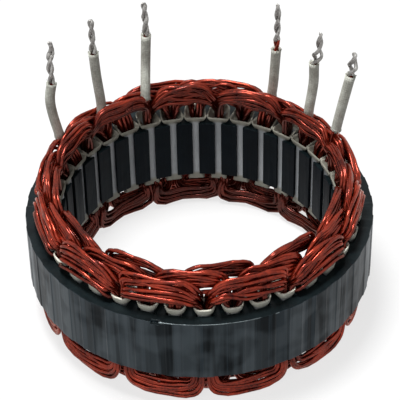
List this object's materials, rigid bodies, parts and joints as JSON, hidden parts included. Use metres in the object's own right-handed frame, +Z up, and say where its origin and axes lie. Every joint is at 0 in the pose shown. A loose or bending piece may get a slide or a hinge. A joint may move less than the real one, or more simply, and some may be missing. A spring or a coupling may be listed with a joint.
{
  "type": "wound stator",
  "caption": "Laminated steel ring with inward teeth, paper-lined slots, a three-phase wave winding of enamelled copper wire and sleeved leads with bare twisted ends.",
  "frame": {"origin": "on the axis, level with the lowest winding loops, which the part stands on", "axes": "+Z up along the core's axis, towards the leads; slot 0 lies on +Y"},
  "size_m": [0.1298, 0.1298, 0.0967],
  "materials": {
    "core": "dark blue-grey varnished laminated steel, satin",
    "slot_liner": "cream insulating paper, matt",
    "winding": "red-brown enamelled copper wire, glossy; the leads' bare ends are tinned",
    "lead_sleeve": "grey-white varnished braided sleeving"
  },
  "bodies": {
    "root": {"core": "core", "slot_liner_01": "slot_liner", "slot_liner_02": "slot_liner", "slot_liner_03": "slot_liner", "slot_liner_04": "slot_liner", "slot_liner_05": "slot_liner", "slot_liner_06": "slot_liner", "slot_liner_07": "slot_liner", "slot_liner_08": "slot_liner", "slot_liner_09": "slot_liner", "slot_liner_10": "slot_liner", "slot_liner_11": "slot_liner", "slot_liner_12": "slot_liner", "slot_liner_13": "slot_liner", "slot_liner_14": "slot_liner", "slot_liner_15": "slot_liner", "slot_liner_16": "slot_liner", "slot_liner_17": "slot_liner", "slot_liner_18": "slot_liner", "slot_liner_19": "slot_liner", "slot_liner_20": "slot_liner", "slot_liner_21": "slot_liner", "slot_liner_22": "slot_liner", "slot_liner_23": "slot_liner", "slot_liner_24": "slot_liner", "slot_liner_25": "slot_liner", "slot_liner_26": "slot_liner", "slot_liner_27": "slot_liner", "slot_liner_28": "slot_liner", "slot_liner_29": "slot_liner", "slot_liner_30": "slot_liner", "slot_liner_31": "slot_liner", "slot_liner_32": "slot_liner", "slot_liner_33": "slot_liner", "slot_liner_34": "slot_liner", "slot_liner_35": "slot_liner", "slot_liner_36": "slot_liner", "phase_u_winding": "winding", "phase_v_winding": "winding", "phase_w_winding": "winding", "sleeve_u_start": "lead_sleeve", "sleeve_v_start": "lead_sleeve", "sleeve_w_start": "lead_sleeve", "sleeve_u_end": "lead_sleeve", "sleeve_v_end": "lead_sleeve", "sleeve_w_end": "lead_sleeve"}
  },
  "joints": []
}
